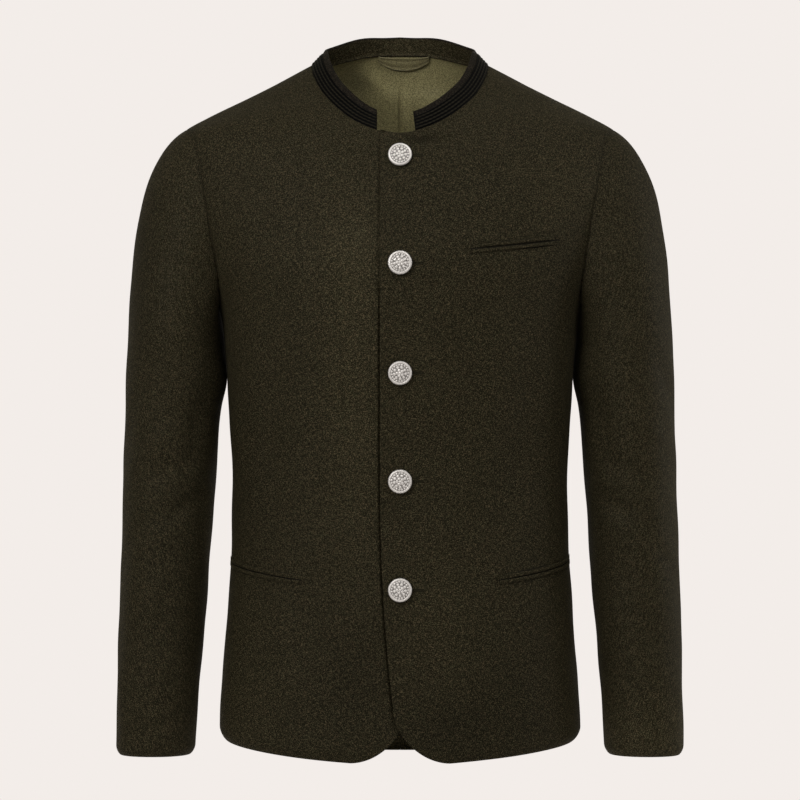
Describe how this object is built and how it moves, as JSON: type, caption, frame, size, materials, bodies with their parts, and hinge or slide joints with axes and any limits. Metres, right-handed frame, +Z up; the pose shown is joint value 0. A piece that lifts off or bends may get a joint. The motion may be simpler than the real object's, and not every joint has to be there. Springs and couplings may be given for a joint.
{
  "type": "trachten jacket",
  "caption": "Men's trachten jacket, filled out as worn: low stand collar with ribbed braid, lapped button front, piped pockets, set-in sleeves, open neck, hem and cuffs.",
  "frame": {"origin": "midway between the neck ends of the two shoulder seams, where the wearer's shoulders carry the jacket", "axes": "+X to the wearer's left, +Y to the wearer's back, +Z up"},
  "size_m": [0.581, 0.2567, 0.7518],
  "materials": {
    "wool": "olive-brown melange wool, matt with a soft nap",
    "lining": "olive satin lining",
    "braid": "near-black ribbed braid",
    "button_metal": "old-silver coloured metal with a plain flower"
  },
  "bodies": {
    "root": {"front_left": "wool", "front_right": "wool", "back_left": "wool", "back_right": "wool", "lining_back_left": "lining", "lining_back_right": "lining", "sleeve_top_left": "wool", "sleeve_under_left": "wool", "sleeve_top_right": "wool", "sleeve_under_right": "wool", "collar": "wool", "collar_braid": "braid", "chest_pocket_upper": "wool", "chest_pocket_lower": "wool", "hip_pocket_left_upper": "wool", "hip_pocket_left_lower": "wool", "hip_pocket_right_upper": "wool", "hip_pocket_right_lower": "wool", "button_1": "button_metal", "button_2": "button_metal", "button_3": "button_metal", "button_4": "button_metal", "button_5": "button_metal", "hanging_loop": "lining"}
  },
  "joints": []
}
